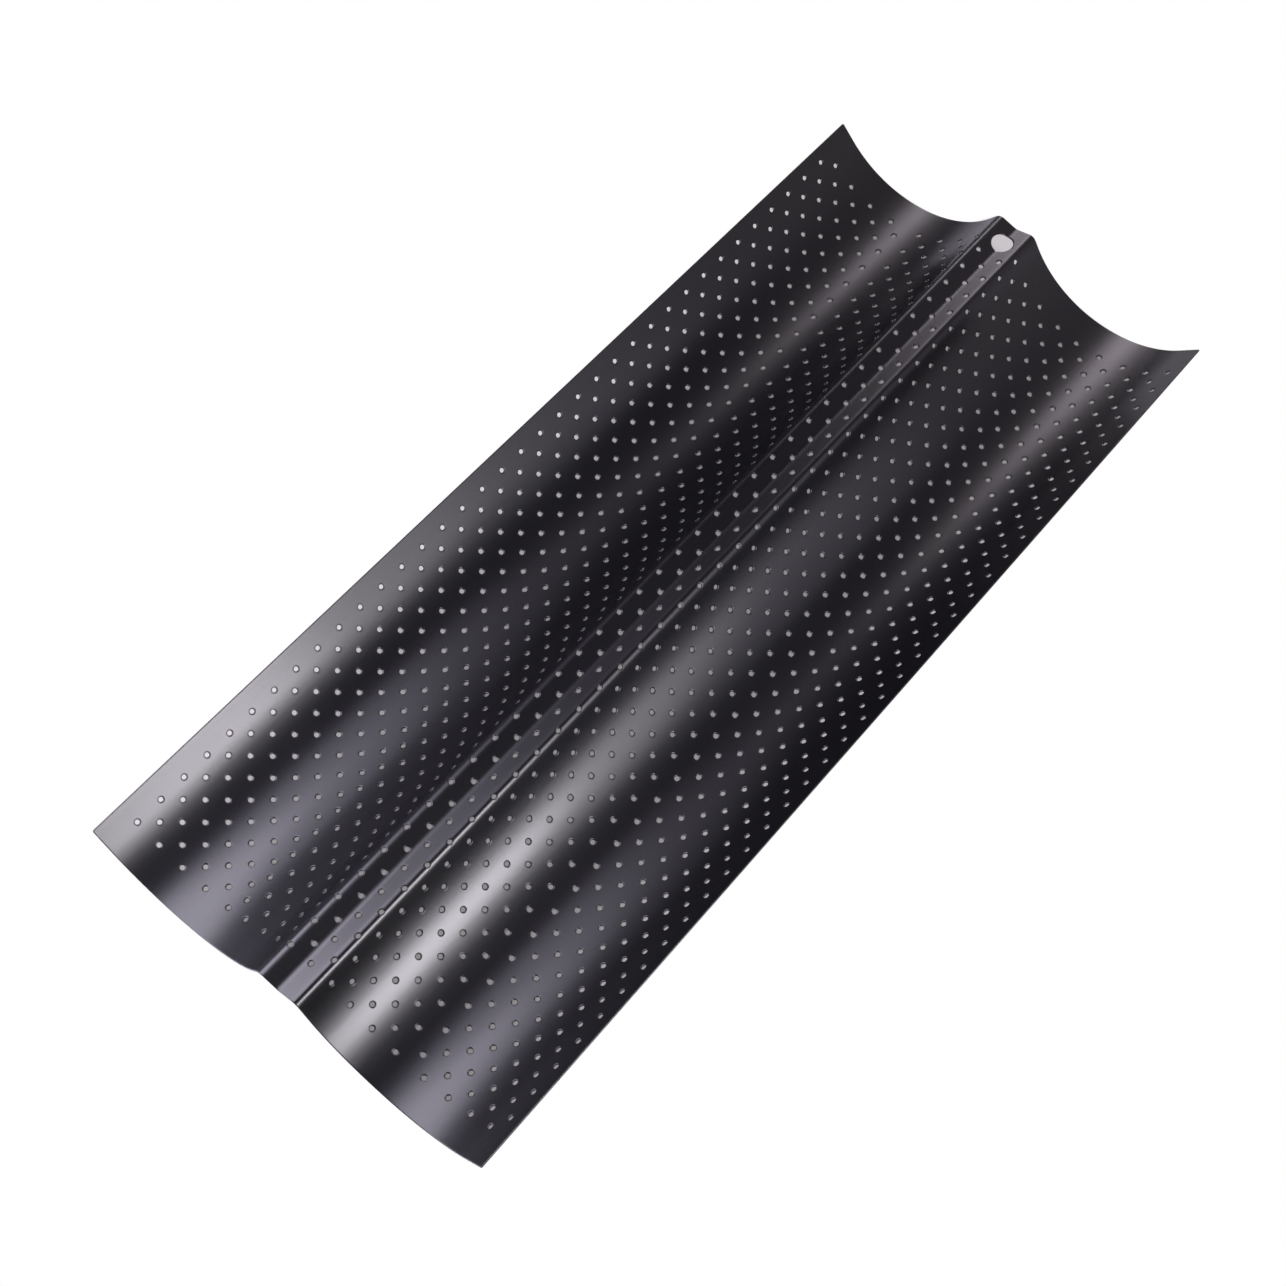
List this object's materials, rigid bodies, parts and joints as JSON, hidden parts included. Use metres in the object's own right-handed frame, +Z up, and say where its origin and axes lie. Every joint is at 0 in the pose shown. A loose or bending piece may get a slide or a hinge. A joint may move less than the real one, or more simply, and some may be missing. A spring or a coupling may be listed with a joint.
{
  "type": "perforated baguette tray",
  "caption": "Perforated two-trough baking tray pressed from one thin coated sheet, for proving and baking long loaves side by side.",
  "frame": {"origin": "on the table, below the middle of the gutter between the two troughs, halfway along the tray", "axes": "+Y along the troughs, towards the end with the hanging hole; +Z up, the baking side; +X across the troughs"},
  "size_m": [0.1607, 0.38, 0.0224],
  "materials": {
    "coated_sheet": "satin non-stick coating"
  },
  "bodies": {
    "root": {"tray_sheet": "coated_sheet"}
  },
  "joints": []
}
